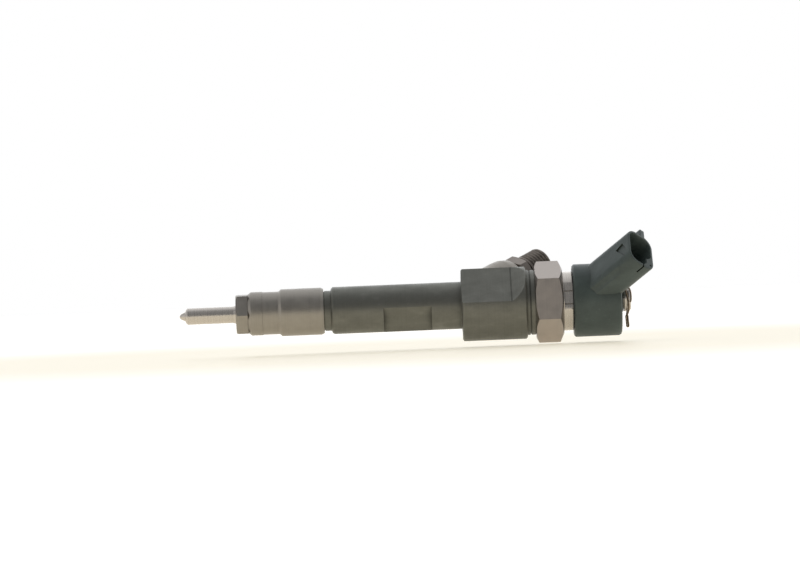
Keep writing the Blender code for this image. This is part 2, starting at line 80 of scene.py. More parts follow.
NUT_FRONT = station_of(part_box("nozzle_nut")[0].x)
NUT_REAR = station_of(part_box("nozzle_nut")[1].x)
COUPLING_FRONT = station_of(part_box("solenoid_nut")[0].x)
COUPLING_REAR = station_of(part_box("solenoid_nut")[1].x)
SLEEVE_REAR = station_of(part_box("magnet_sleeve")[1].x)
SPIGOT_REAR = station_of(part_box("return_spigot")[1].x)
NUT_R = radius_of("nozzle_nut")
SPIGOT_R = radius_of("return_spigot")

# Sizes that the CAD keeps inside its nodes, repeated here.
NOZZLE_R = 3.5
NOZZLE_FLANGE_R = 7.15
NUT_HEX_R = 9.24
TUBE_R = 10.02
HEAD_FRONT = 120.2
HEAD_REAR = 147.7
HEAD_R = 15.36
COLLAR_R = 13.8
COUPLING_HEX_R = 17.35
SLEEVE_R = 12.53
HOUSING_FRONT = 167.5
HOUSING_REAR = 187.8
HOUSING_R = 15.45

# Directions about the axis, from +Y towards +Z, and sizes along the two slanted axes, as in the CAD.
NUT_HEX_ANGLE = math.radians(3.7)
COUPLING_HEX_ANGLE = math.radians(25)
TUBE_FLAT_ANGLE = math.radians(223)
HEAD_FLAT_ANGLE = math.radians(134)
INLET_STATION = 121.8
INLET_TILT = math.radians(43)
INLET_ANGLE = math.radians(31.7)
INLET_HEX_ANGLE = math.radians(52.9)
BOSS_R = 10.4
BOSS_END = 28.3
UNION_START = 22.3
UNION_HEX_R = 8.66
UNION_THREAD_R = 7.0
UNION_THREAD_START = 35.6
UNION_END = 46.5
UNION_PITCH = 1.5
CONNECTOR_STATION = 170.2
CONNECTOR_TILT = math.radians(47.3)
CONNECTOR_ANGLE = math.radians(134)
CONNECTOR_MOUTH = 38.4
SOCKET_FLOOR = 24.4
TERMINAL_OFFSET = 0.6
TERMINAL_SIDE = 2.6
PIN_HOLES = (math.radians(43), math.radians(223))
PIN_HOLE_OFFSET = 5.6
PIN_HOLE_R = 1.15

# Noise scales, per metre, and colours of the shaders.
GRAIN_SCALE = 9000.0
PATCH_SCALE = 260.0
EVEN = (1.0, 1.0, 1.0)
MACHINED_COLOUR = (0.4, 0.37, 0.33)


def axis_matrix(station=0.0, tilt=0.0, angle=0.0):
    """The place of an axis that leaves the injector's axis at this station, tilt and angle."""
    place = Matrix.Translation((TIP_X + station * MM, AXIS_Y, AXIS_Z))
    return place @ Matrix.Rotation(angle, 4, "X") @ Matrix.Rotation(tilt, 4, "Z")


INJECTOR = axis_matrix()
INLET = axis_matrix(INLET_STATION, INLET_TILT, INLET_ANGLE)
CONNECTOR = axis_matrix(CONNECTOR_STATION, CONNECTOR_TILT, CONNECTOR_ANGLE)


# ---------------------------------------------------------------- mesh helpers


def add_object(name, mesh, matrix):
    obj = bpy.data.objects.new(name, mesh)
    bpy.context.scene.collection.objects.link(obj)
    obj.matrix_world = matrix
    return obj


def soften(points, closed):
    """A (station, radius, fillet) profile with each corner that has a fillet made an arc."""
    result = []
    count = len(points)
    for i, point in enumerate(points):
        here = Vector(point[:2])
        fillet = point[2] if len(point) > 2 else 0.0
        at_end = not closed and i in (0, count - 1)
        if fillet == 0.0 or at_end:
            result.append((here.x, here.y))
            continue
        before = Vector(points[i - 1][:2]) - here
        after = Vector(points[(i + 1) % count][:2]) - here
        reach = min(before.length, after.length) * 0.49
        half = before.angle(after) / 2
        cut = min(fillet / math.tan(half), reach)
        start = here + before.normalized() * cut
        end = here + after.normalized() * cut
        for step in range(FILLET_STEPS + 1):
            t = step / FILLET_STEPS
            spot = start * (1 - t) ** 2 + here * 2 * t * (1 - t) + end * t**2
            result.append((spot.x, spot.y))
    return result


def lathe(name, outside, inside=None, matrix=INJECTOR, segments=SEGMENTS):
    """A turned solid about the local X axis, from (station, radius) or (..., fillet) points."""
    outer = list(reversed(outside))
    inner = list(inside or [])
    points = inner + outer if inner and outside[0][1] == 0 else outer + inner
    closed = points[0][1] > 0 and points[-1][1] > 0
    profile = soften(points, closed)
    shape = bmesh.new()
    rings = []
    for station, radius in profile:
        if radius <= 0:
            rings.append([shape.verts.new((station * MM, 0.0, 0.0))])
            continue
        ring = []
        for k in range(segments):
            turn = FULL_TURN * k / segments
            spot = (station * MM, radius * MM * math.cos(turn), radius * MM * math.sin(turn))
            ring.append(shape.verts.new(spot))
        rings.append(ring)
    pairs = list(zip(rings, rings[1:]))
    if closed:
        pairs.append((rings[-1], rings[0]))
    for first, second in pairs:
        for k in range(segments):
            after = (k + 1) % segments
            corners = [first[k % len(first)], first[after % len(first)]]
            corners += [second[after % len(second)], second[k % len(second)]]
            shape.faces.new(list(dict.fromkeys(corners)))
    bmesh.ops.recalc_face_normals(shape, faces=shape.faces)
    mesh = bpy.data.meshes.new(name)
    shape.to_mesh(mesh)
    shape.free()
    return add_object(name, mesh, matrix)


def rod_profile(start, end, radius):
    """The lathe profile of a plain rod."""
    return [(start, 0), (start, radius), (end, radius), (end, 0)]


def cut_thread(obj, start, end, pitch, depth, least_r):
    """Presses a V thread into the rings of a turned piece between two stations."""
    for vertex in obj.data.vertices:
        station = vertex.co.x / MM
        radius = math.hypot(vertex.co.y, vertex.co.z)
        if not start < station < end or radius / MM < least_r:
            continue
        turn = math.atan2(vertex.co.z, vertex.co.y) / FULL_TURN
        phase = (station / pitch - turn) % 1.0
        valley = max(0.0, min(1.0, 1.25 - 2.5 * abs(phase - 0.5)))
        fade = min(1.0, (station - start) / pitch, (end - station) / pitch)
        scale = 1 - depth * MM * valley * fade / radius
        vertex.co.y *= scale
        vertex.co.z *= scale


def thread_rows(start, end, radius, pitch):
    """Profile points close enough together to hold a thread."""
    rows_per_turn = 10
    count = int((end - start) / pitch * rows_per_turn)
    return [(start + (end - start) * i / count, radius) for i in range(count + 1)]


def block(name, middle, size, matrix, turn=0.0):
    """A box with its centre at (station, y, z) of the local axis, turned about that axis."""
    mesh = bpy.data.meshes.new(name)
    shape = bmesh.new()
    bmesh.ops.create_cube(shape, size=1.0, matrix=Matrix.Diagonal((*(Vector(size) * MM), 1.0)))
    shape.to_mesh(mesh)
    shape.free()
    place = Matrix.Rotation(turn, 4, "X") @ Matrix.Translation(Vector(middle) * MM)
    return add_object(name, mesh, matrix @ place)


def prism(name, sections, matrix):
    """A solid through outlines of equal point count, each given as (station, [(y, z), ...])."""
    shape = bmesh.new()
    rings = []
    for station, outline in sections:
        rings.append([shape.verts.new(Vector((station, y, z)) * MM) for y, z in outline])
    for first, second in zip(rings, rings[1:]):
        for k in range(len(first)):
            after = (k + 1) % len(first)
            shape.faces.new((first[k], first[after], second[after], second[k]))
    shape.faces.new(rings[0])
    shape.faces.new(rings[-1])
    bmesh.ops.recalc_face_normals(shape, faces=shape.faces)
    mesh = bpy.data.meshes.new(name)
    shape.to_mesh(mesh)
    shape.free()
    return add_object(name, mesh, matrix)


def prism_across(name, corners, low, high, matrix):
    """A solid over (station, z) corners, between two heights along the local Y axis."""
    shape = bmesh.new()
    rings = []
    for height in (low, high):
        rings.append([shape.verts.new(Vector((t, height, z)) * MM) for t, z in corners])
    for ring in rings:
        shape.faces.new(ring)
    for k in range(len(corners)):
        after = (k + 1) % len(corners)
        shape.faces.new((rings[0][k], rings[0][after], rings[1][after], rings[1][k]))
    bmesh.ops.recalc_face_normals(shape, faces=shape.faces)
    mesh = bpy.data.meshes.new(name)
    shape.to_mesh(mesh)
    shape.free()
    return add_object(name, mesh, matrix)


def rounded_outline(half_y, half_z, corner, middle_y=0.0, steps=10):
    points = []
    for quarter in range(4):
        sign_y = (1, -1, -1, 1)[quarter]
        sign_z = (1, 1, -1, -1)[quarter]
        for step in range(steps + 1):
            turn = math.pi / 2 * (quarter + step / steps)
            y = middle_y + sign_y * (half_y - corner) + corner * math.cos(turn)
            z = sign_z * (half_z - corner) + corner * math.sin(turn)
            points.append((y, z))
    return points


def boolean(target, tool, operation="DIFFERENCE"):
    """Cuts or joins at once and removes the tool."""
    modifier = target.modifiers.new("boolean", "BOOLEAN")
    modifier.operation = operation
    modifier.object = tool
    modifier.solver = "EXACT"
    bpy.context.view_layer.update()
    evaluated = target.evaluated_get(bpy.context.evaluated_depsgraph_get())
    mesh = bpy.data.meshes.new_from_object(evaluated)
    target.modifiers.clear()
    target.data = mesh
    bpy.data.objects.remove(tool)


def hexagon_cutter(name, start, end, corner_r, angle, matrix):
    """A ring with a hexagonal hole, which mills six flats on a round blank."""
    outside = [(start, 3 * corner_r), (end, 3 * corner_r)]
    inside = [(start, corner_r), (end, corner_r)]
    turned = matrix @ Matrix.Rotation(angle, 4, "X")
    return lathe(name, outside, inside, turned, 6)


def break_edges(obj, width):
    """Takes the sharpness off moulded edges with a narrow round bevel."""
    modifier = obj.modifiers.new("edges", "BEVEL")
    modifier.width = width * MM
    modifier.segments = 2
    modifier.limit_method = "ANGLE"
    modifier.angle_limit = EDGE_ANGLE


def tidy_shading(obj):
    obj.data.shade_smooth()
    obj.data.set_sharp_from_angle(angle=SHARP_ANGLE)


def settle(obj):
    """Puts a slanted piece's place into its mesh, and keeps each point's old place for its look."""
    mesh = obj.data
    places = mesh.attributes.new("own_place", "FLOAT_VECTOR", "POINT")
    for vertex, place in zip(mesh.vertices, places.data):
        place.vector = vertex.co
    mesh.transform(obj.matrix_world)
    obj.matrix_world = Matrix()


def finish_piece(obj, material, body, slot, *nodes):
    obj.data.materials.clear()
    obj.data.materials.append(material)
    if obj.type == "MESH":
        tidy_shading(obj)
    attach(obj, body)
    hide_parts(*nodes)
    return obj


# ---------------------------------------------------------------- materials


class Nodes:
    """A small helper that wires the nodes of one material."""

    def __init__(self, name, attribute=None):
        self.material = bpy.data.materials.new(name)
        self.material.use_nodes = True
        self.tree = self.material.node_tree
        self.shader = self.tree.nodes["Principled BSDF"]
        if attribute:
            node = self.tree.nodes.new("ShaderNodeAttribute")
            node.attribute_name = attribute
            self.coords = node.outputs["Vector"]
        else:
            self.coords = self.tree.nodes.new("ShaderNodeTexCoord").outputs["Object"]

    def link(self, output, target):
        self.tree.links.new(output, target)

    def noise(self, scale, stretch, detail, roughness=0.55):
        mapping = self.tree.nodes.new("ShaderNodeMapping")
        mapping.inputs["Scale"].default_value = stretch
        self.link(self.coords, mapping.inputs["Vector"])
        noise = self.tree.nodes.new("ShaderNodeTexNoise")
        noise.inputs["Scale"].default_value = scale
        noise.inputs["Detail"].default_value = detail
        noise.inputs["Roughness"].default_value = roughness
        self.link(mapping.outputs["Vector"], noise.inputs["Vector"])
        return noise.outputs["Fac"]

    def ramp(self, value, *stops):
        node = self.tree.nodes.new("ShaderNodeValToRGB")
        elements = node.color_ramp.elements
        while len(elements) < len(stops):
            elements.new(0.5)
        for element, (position, colour) in zip(elements, stops):
            element.position = position
            element.color = (*colour, 1.0)
        self.link(value, node.inputs["Fac"])
        return node.outputs["Color"]

    def rerange(self, value, low, high, from_low=0.3, from_high=0.7):
        node = self.tree.nodes.new("ShaderNodeMapRange")
        node.inputs["From Min"].default_value = from_low
        node.inputs["From Max"].default_value = from_high
        node.inputs["To Min"].default_value = low
        node.inputs["To Max"].default_value = high
        self.link(value, node.inputs["Value"])
        return node.outputs["Result"]

    def math(self, operation, first, second):
        node = self.tree.nodes.new("ShaderNodeMath")
        node.operation = operation
        for socket, value in zip(node.inputs, (first, second)):
            if isinstance(value, (int, float)):
                socket.default_value = value
            else:
                self.link(value, socket)
        return node.outputs["Value"]

    def mix(self, factor, under, over):
        """The colour over, a constant, laid on the colour under by the factor."""
        node = self.tree.nodes.new("ShaderNodeMix")
        node.data_type = "RGBA"
        self.link(factor, node.inputs["Factor"])
        self.link(under, node.inputs[6])
        node.inputs[7].default_value = (*over, 1.0)
        return node.outputs[2]

    def from_axis(self, near, far):
        """0 within the near distance from the piece's own axis, 1 past the far one."""
        flat = self.tree.nodes.new("ShaderNodeVectorMath")
        flat.operation = "MULTIPLY"
        flat.inputs[1].default_value = (0.0, 1.0, 1.0)
        self.link(self.coords, flat.inputs[0])
        length = self.tree.nodes.new("ShaderNodeVectorMath")
        length.operation = "LENGTH"
        self.link(flat.outputs["Vector"], length.inputs[0])
        return self.rerange(length.outputs["Value"], 0.0, 1.0, near, far)

    def hollow(self, distance, most):
        """Painted shade mask from ambient occlusion: towards the most in corners and grooves, 0 on
        open faces.
        """
        node = self.tree.nodes.new("ShaderNodeAmbientOcclusion")
        node.samples = 6
        node.only_local = True
        node.inputs["Distance"].default_value = distance
        return self.rerange(node.outputs["AO"], most, 0.0, 0.35, 0.95)

    def bump(self, height, distance):
        node = self.tree.nodes.new("ShaderNodeBump")
        node.inputs["Strength"].default_value = 1.0
        node.inputs["Distance"].default_value = distance
        self.link(height, node.inputs["Height"])
        self.link(node.outputs["Normal"], self.shader.inputs["Normal"])


def darker(colour, share):
    return tuple(channel * share for channel in colour)


def metal(
    name,
    light,
    dark,
    roughness,
    marks=0.35,
    corner_shade=0.5,
    pitch=2500.0,
    mottle=0.35,
    relief=8e-6,
    fine=0.08,
    attribute=None,
):
    """Machined metal: turning marks round the axis, a soft mottle, painted shade in the corners."""
    nodes = Nodes(name, attribute)
    rings = nodes.noise(1.0, (pitch, 12.0, 12.0), 3.0)
    patches = nodes.noise(PATCH_SCALE, EVEN, 5.0, 0.6)
    grain = nodes.noise(GRAIN_SCALE, EVEN, 2.0)
    ring_tone = nodes.math("MULTIPLY", rings, marks)
    tone = nodes.math("ADD", ring_tone, nodes.math("MULTIPLY", patches, mottle))
    tone = nodes.math("ADD", tone, nodes.math("MULTIPLY", grain, fine))
    middle = (marks + mottle + fine) / 2
    spread = 0.16
    shade = nodes.rerange(tone, 0.0, 1.0, middle - spread, middle + spread)
    colour = nodes.ramp(shade, (0.0, dark), (1.0, light))
    # Painted shade: corners and grooves darkened by ambient occlusion.
    painted_shade = nodes.hollow(0.0012, corner_shade)
    colour = nodes.mix(painted_shade, colour, darker(dark, 0.18))
    nodes.link(colour, nodes.shader.inputs["Base Color"])
    nodes.shader.inputs["Metallic"].default_value = 1.0
    both = nodes.math("ADD", rings, patches)
    rough = nodes.rerange(both, roughness - 0.07, roughness + 0.09, 0.7, 1.3)
    nodes.link(rough, nodes.shader.inputs["Roughness"])
    ring_height = nodes.math("MULTIPLY", rings, marks)
    height = nodes.math("ADD", ring_height, nodes.math("MULTIPLY", grain, fine))
    nodes.bump(height, relief)
    return nodes.material


def phosphate(name, light, dark, roughness):
    """A fine crystalline conversion coat on steel, rubbed brighter where it has been handled, with
    painted shade in its corners and grooves.
    """
    nodes = Nodes(name)
    crystals = nodes.noise(3800.0, EVEN, 6.0, 0.7)
    patches = nodes.noise(120.0, (1.0, 1.6, 1.6), 5.0, 0.6)
    rings = nodes.noise(1.0, (1500.0, 10.0, 10.0), 2.0)
    crystal_tone = nodes.math("MULTIPLY", crystals, 0.35)
    tone = nodes.math("ADD", crystal_tone, nodes.math("MULTIPLY", patches, 0.5))
    tone = nodes.math("ADD", tone, nodes.math("MULTIPLY", rings, 0.15))
    shade = nodes.rerange(tone, 0.0, 1.0, 0.36, 0.64)
    colour = nodes.ramp(shade, (0.0, dark), (1.0, light))
    rubbed = nodes.rerange(patches, 0.0, 0.3, 0.6, 0.75)
    colour = nodes.mix(rubbed, colour, tuple(channel * 1.3 for channel in light))
    beyond = nodes.from_axis((HEAD_R + 0.14) * MM, (HEAD_R + 0.44) * MM)
    colour = nodes.mix(beyond, colour, MACHINED_COLOUR)
    # Painted shade: corners and grooves darkened by ambient occlusion.
    colour = nodes.mix(nodes.hollow(0.003, 0.7), colour, darker(dark, 0.25))
    nodes.link(colour, nodes.shader.inputs["Base Color"])
    nodes.shader.inputs["Metallic"].default_value = 0.92
    rough = nodes.rerange(tone, roughness + 0.06, roughness - 0.06, 0.4, 0.6)
    nodes.link(rough, nodes.shader.inputs["Roughness"])
    nodes.bump(nodes.math("ADD", crystals, nodes.math("MULTIPLY", rings, 0.3)), 1.2e-5)
    return nodes.material


def plastic(name, light, dark, roughness, relief=1.6e-5):
    """Moulded plastic or rubber: a spark-eroded texture, faint flow marks and scuffs, with painted
    shade in its recesses.
    """
    nodes = Nodes(name)
    texture = nodes.noise(5200.0, EVEN, 3.0, 0.65)
    flow = nodes.noise(90.0, (1.0, 1.8, 1.2), 4.0, 0.6)
    scuffs = nodes.noise(420.0, (1.0, 6.0, 0.6), 3.0, 0.7)
    texture_tone = nodes.math("MULTIPLY", texture, 0.3)
    tone = nodes.math("ADD", texture_tone, nodes.math("MULTIPLY", flow, 0.7))
    shade = nodes.rerange(tone, 0.0, 1.0, 0.36, 0.64)
    colour = nodes.ramp(shade, (0.0, dark), (1.0, light))
    worn = nodes.rerange(scuffs, 0.0, 0.3, 0.6, 0.75)
    scuffed = tuple(min(1.0, channel * 1.7 + 0.01) for channel in light)
    colour = nodes.mix(worn, colour, scuffed)
    # Painted shade: recesses and corners darkened by ambient occlusion towards this deep colour.
    red_share, green_share, blue_share = 0.22, 0.2, 0.06
    painted_shade_colour = (dark[0] * red_share, dark[1] * green_share, dark[2] * blue_share)
    colour = nodes.mix(nodes.hollow(0.007, 0.9), colour, painted_shade_colour)
    nodes.link(colour, nodes.shader.inputs["Base Color"])
    rough = nodes.rerange(texture, roughness - 0.08, roughness + 0.1)
    nodes.link(rough, nodes.shader.inputs["Roughness"])
    nodes.bump(texture, relief)
    return nodes.material


MATERIALS = {
    "bright_steel": metal(
        "bright_steel",
        light=(0.78, 0.73, 0.68),
        dark=(0.6, 0.55, 0.5),
        roughness=0.27,
        marks=0.5,
        corner_shade=0.6,
        pitch=1600.0,
        mottle=0.12,
        relief=4e-7,
        fine=0.02,
    ),
    "satin_steel": metal(
        "satin_steel",
        light=(0.46, 0.43, 0.39),
        dark=(0.34, 0.315, 0.28),
        roughness=0.4,
        marks=0.35,
        corner_shade=0.42,
        pitch=2200.0,
        mottle=0.35,
        relief=5e-6,
    ),
    "phosphated_steel": phosphate(
        "phosphated_steel",
        light=(0.235, 0.235, 0.21),
        dark=(0.18, 0.18, 0.16),
        roughness=0.42,
    ),
    "warm_steel": metal(
        "warm_steel",
        light=(0.59, 0.53, 0.49),
        dark=(0.46, 0.415, 0.38),
        roughness=0.36,
        marks=0.2,
        corner_shade=0.5,
        pitch=2200.0,
        mottle=0.4,
        relief=5e-6,
    ),
    "union_steel": metal(
        "union_steel",
        light=(0.36, 0.32, 0.29),
        dark=(0.24, 0.21, 0.185),
        roughness=0.34,
        marks=0.2,
        corner_shade=0.75,
        pitch=2200.0,
        mottle=0.4,
        relief=5e-6,
        fine=0.08,
        attribute="own_place",
    ),
    "hard_steel": metal(
        "hard_steel",
        light=(0.66, 0.66, 0.66),
        dark=(0.42, 0.42, 0.43),
        roughness=0.2,
        marks=0.3,
        corner_shade=0.3,
        pitch=3500.0,
        mottle=0.2,
    ),
    "spring_steel": metal(
        "spring_steel",
        light=(0.36, 0.34, 0.31),
        dark=(0.16, 0.15, 0.14),
        roughness=0.33,
        marks=0.1,
        corner_shade=0.4,
    ),
    "clip_wire": metal(
        "clip_wire",
        light=(0.42, 0.33, 0.24),
        dark=(0.15, 0.11, 0.08),
        roughness=0.33,
        marks=0.1,
        corner_shade=0.4,
    ),
    "magnet_iron": metal(
        "magnet_iron",
        light=(0.34, 0.34, 0.35),
        dark=(0.2, 0.2, 0.21),
        roughness=0.5,
        marks=0.05,
        corner_shade=0.4,
        pitch=2500.0,
        mottle=0.5,
        relief=2e-5,
    ),
    "seal_copper": metal(
        "seal_copper",
        light=(0.82, 0.45, 0.28),
        dark=(0.45, 0.22, 0.12),
        roughness=0.35,
        marks=0.2,
        corner_shade=0.4,
    ),
    "winding_copper": metal(
        "winding_copper",
        light=(0.7, 0.32, 0.14),
        dark=(0.3, 0.12, 0.05),
        roughness=0.3,
        marks=0.9,
        corner_shade=0.4,
        pitch=7000.0,
        mottle=0.1,
        relief=6e-5,
    ),
    "terminal_brass": metal(
        "terminal_brass",
        light=(0.78, 0.66, 0.4),
        dark=(0.5, 0.38, 0.18),
        roughness=0.3,
        marks=0.1,
        corner_shade=0.4,
    ),
    "housing_plastic": plastic(
        "housing_plastic",
        light=(0.085, 0.112, 0.107),
        dark=(0.057, 0.077, 0.073),
        roughness=0.42,
    ),
    "bobbin_plastic": plastic("bobbin_plastic", (0.55, 0.5, 0.39), (0.42, 0.38, 0.28), 0.5),
    "seal_rubber": plastic(
        "seal_rubber",
        light=(0.03, 0.03, 0.03),
        dark=(0.015, 0.015, 0.015),
        roughness=0.65,
        relief=8e-6,
    ),
}


# ---------------------------------------------------------------- pieces


def add_nozzle():
    tip = [(0.0, 0.0), (0.12, 0.55), (0.45, 0.98), (1.0, 1.32), (2.5, 2.04, 0.3), (2.72, 2.8, 0.3)]
    shaft = [(3.45, NOZZLE_R, 0.4), (22.9, NOZZLE_R, 1.0), (24.0, 3.9, 0.3), (26.9, 3.9)]
    flange = [(26.9, NOZZLE_FLANGE_R, 0.3), (41.5, NOZZLE_FLANGE_R, 0.3)]
    seat = [(2.0, 0.0), (4.2, 1.75), (27.5, 1.75)]
    chamber = [(28.5, 4.2), (31.5, 4.2), (32.5, 2.3), (41.5, 2.3)]
    nozzle = lathe("nozzle_body_fine", tip + shaft + flange, seat + chamber)
    hole_count, hole_r, hole_reach = 6, 0.1, 0.8
    profile = rod_profile(-hole_reach, hole_reach, hole_r)
    slant = Matrix.Translation((0.9 * MM, 1.6 * MM, 0)) @ Matrix.Rotation(math.radians(75), 4, "Z")
    for k in range(hole_count):
        turn = Matrix.Rotation(FULL_TURN * k / hole_count, 4, "X")
        drill = lathe(f"spray_hole_{k}", profile, None, INJECTOR @ turn @ slant, 10)
        boolean(nozzle, drill)
    cut_pin_holes(nozzle)
    finish_piece(nozzle, MATERIALS["bright_steel"], "injector", "bright_steel", "nozzle_body")


def offset_rod(name, start, end, radius, offset, angle):
    """A drill parallel to the injector's axis."""
    shift = Vector((0.0, math.cos(angle), math.sin(angle))) * offset * MM
    place = INJECTOR @ Matrix.Translation(shift)
    return lathe(name, rod_profile(start, end, radius), None, place, 24)


def cut_pin_holes(obj):
    """The two blind holes for the locating pins, across the nozzle's joint with the body."""
    for angle in PIN_HOLES:
        boolean(obj, offset_rod("pin_hole", 39.3, 44.0, PIN_HOLE_R, PIN_HOLE_OFFSET, angle))


def add_nozzle_nut():
    hex_end = 29.2
    hexagon = [(NUT_FRONT, 8.35), (NUT_FRONT + 0.75, NUT_HEX_R), (hex_end, NUT_HEX_R)]
    shoulder = [(hex_end, 8.1, 0.15), (30.6, 9.25, 0.3), (35.4, 9.25, 0.12), (35.5, 9.06)]
    barrel = [(42.35, 9.06, 0.15), (43.5, NUT_R, 0.3), (60.3, NUT_R, 0.1), (NUT_REAR, 9.45, 0.1)]
    seat = [(NUT_FRONT, 4.25, 0.2), (26.6, 4.25), (26.6, 7.5), (42.3, 7.5)]
    bore = seat + [(42.3, 8.5), (NUT_REAR, 8.5)]
    nut = lathe("nozzle_nut_fine", hexagon + shoulder + barrel, bore, INJECTOR, FINE_SEGMENTS)
    cut_end = hex_end + 0.01
    cutter = hexagon_cutter("nut_flats", NUT_FRONT - 1, cut_end, NUT_HEX_R, NUT_HEX_ANGLE, INJECTOR)
    boolean(nut, cutter)
    finish_piece(nut, MATERIALS["satin_steel"], "injector", "satin_steel", "nozzle_nut")


def head_flat_cutter():
    """The cutter for the head's flat, with a fine groove and the round run-out at its end."""
    distance, end, runout, top = 11.4, 141.5, 18.0, 30.0
    kink = math.radians(22)
    half_width = 25.0
    steps = 16
    side = [(HEAD_FRONT - 1, top), (HEAD_FRONT - 1, distance)]
    side += [(end - 0.5, distance), (end - 0.4, distance - 0.2), (end - 0.1, distance - 0.2)]
    for step in range(steps + 1):
        turn = kink + (math.pi / 2 - kink) * step / steps
        along = runout * (math.sin(turn) - math.sin(kink))
        side.append((end + along, distance + runout * (math.cos(kink) - math.cos(turn))))
    side.append((side[-1][0], top))
    shape = bmesh.new()
    ends = []
    for z in (-half_width, half_width):
        ends.append([shape.verts.new(Vector((x, y, z)) * MM) for x, y in side])
        shape.faces.new(ends[-1])
    for k in range(len(side)):
        after = (k + 1) % len(side)
        shape.faces.new((ends[0][k], ends[0][after], ends[1][after], ends[1][k]))
    bmesh.ops.recalc_face_normals(shape, faces=shape.faces)
    mesh = bpy.data.meshes.new("head_flat")
    shape.to_mesh(mesh)
    shape.free()
    return add_object("head_flat", mesh, INJECTOR @ Matrix.Rotation(HEAD_FLAT_ANGLE, 4, "X"))


def add_injector_body():
    stub = [(41.8, NOZZLE_FLANGE_R, 0.2), (42.8, NOZZLE_FLANGE_R), (42.8, 8.2), (61.9, 8.2)]
    groove = [(61.9, 8.53), (64.6, 8.53, 0.4)]
    tube = [(64.8, 9.35, 0.1), (65.5, TUBE_R, 0.15), (HEAD_FRONT - 0.2, TUBE_R, 0.4)]
    head = [(HEAD_FRONT, 14.75, 0.1), (120.75, HEAD_R, 0.15), (147.1, HEAD_R, 0.25)]
    head += [(HEAD_REAR, 14.7, 0.15)]
    ring = [(HEAD_REAR, COLLAR_R, 0.1), (148.9, COLLAR_R, 0.1), (149.0, 13.3), (149.35, 13.3)]
    thread = [(149.4, 13.75, 0.2), (151.2, 13.75, 0.1), (151.25, 13.45), (156.5, 13.45, 0.3)]
    chambers = [(41.8, 3.9), (64.1, 3.9), (64.1, 2.6), (124.0, 2.6), (124.0, 4.9), (138.0, 4.9)]
    rear_bore = [(138.0, 9.0), (150.0, 9.0), (150.0, 11.6), (156.5, 11.6, 0.2)]
    outside = stub + groove + tube + head + ring + thread
    body = lathe("injector_body_fine", outside, chambers + rear_bore, INJECTOR, FINE_SEGMENTS)

    boss_side = [(7.5, BOSS_R), (21.2, BOSS_R, 2.0), (24.7, 10.1, 1.5), (BOSS_END, 8.9, 0.5)]
    boss = lathe("boss", [(7.5, 0)] + boss_side + [(BOSS_END, 0)], None, INLET)
    boolean(body, boss, "UNION")
    boolean(body, offset_rod("valve_chamber", 138.0, 149.0, 9.0, 0.0, 0.0))
    boolean(body, offset_rod("pressure_chamber", 125.0, 139.0, 4.9, 0.0, 0.0))
    for name, start, end, radius in (
        ("spot_face", BOSS_END, BOSS_END + 8, BOSS_R + 0.3),
        ("union_bore", UNION_START - 0.3, BOSS_END + 1, 4.8),
        ("inlet_passage", 5.5, UNION_START, 1.6),
    ):
        boolean(body, lathe(name, rod_profile(start, end, radius), None, INLET, 48))
    boolean(body, offset_rod("fuel_duct", 41.0, 126.0, 1.2, 5.9, math.radians(133)))
    cut_pin_holes(body)
    flat_distance, flat_start, flat_end, depth = 7.2, 86.8, 107.2, 10.0
    middle = ((flat_start + flat_end) / 2, flat_distance + depth / 2, 0)
    size = (flat_end - flat_start, depth, 40)
    for turn in (TUBE_FLAT_ANGLE, TUBE_FLAT_ANGLE + math.pi):
        boolean(body, block("tube_flat", middle, size, INJECTOR, turn))
    boolean(body, head_flat_cutter())
    coat = "phosphated_steel"
    finish_piece(body, MATERIALS[coat], "injector", coat, "injector_body")


def add_inlet_union():
    """The union is slanted, so its place is baked in: a turned box would reach past the CAD's."""
    stub = [(UNION_START, 4.5, 0.3), (29.6, 4.5)]
    collar = [(29.6, 7.75), (30.1, UNION_HEX_R), (33.9, UNION_HEX_R), (34.4, 7.75), (34.4, 6.1)]
    rows = thread_rows(UNION_THREAD_START, UNION_END - 0.7, UNION_THREAD_R, UNION_PITCH)
    rows = [(35.2, 6.1)] + rows + [(UNION_END, 6.25, 0.15)]
    bore = [(UNION_START, 2.2), (UNION_END - 2, 2.2), (UNION_END, 4.2, 0.15)]
    union = lathe("inlet_union_fine", stub + collar + rows, bore, INLET, FINE_SEGMENTS)
    depth, least_r = 0.85, 6.5
    cut_thread(union, UNION_THREAD_START, UNION_END - 0.3, UNION_PITCH, depth, least_r)
    cutter = hexagon_cutter("union_flats", 28.7, 35.0, UNION_HEX_R, INLET_HEX_ANGLE, INLET)
    boolean(union, cutter)
    settle(union)
    finish_piece(union, MATERIALS["union_steel"], "injector", "warm_steel", "inlet_union")


def add_coupling_nut():
    front, rear = COUPLING_FRONT, COUPLING_REAR
    blank_r, thread_r, step = COUPLING_HEX_R + 0.04, 13.8, 160.5
    outside = [(front, 15.3), (front + 1.1, blank_r), (rear - 1.7, blank_r), (rear, 13.9)]
    inside = [(front, thread_r, 0.2), (step, thread_r), (step, 12.85), (rear, 12.85, 0.2)]
    nut = lathe("solenoid_nut_fine", outside, inside, INJECTOR, 192)
    ends = (front - 1, rear + 1)
    cutter = hexagon_cutter("coupling_flats", *ends, COUPLING_HEX_R, COUPLING_HEX_ANGLE, INJECTOR)
    boolean(nut, cutter)
    finish_piece(nut, MATERIALS["warm_steel"], "injector", "warm_steel", "solenoid_nut")


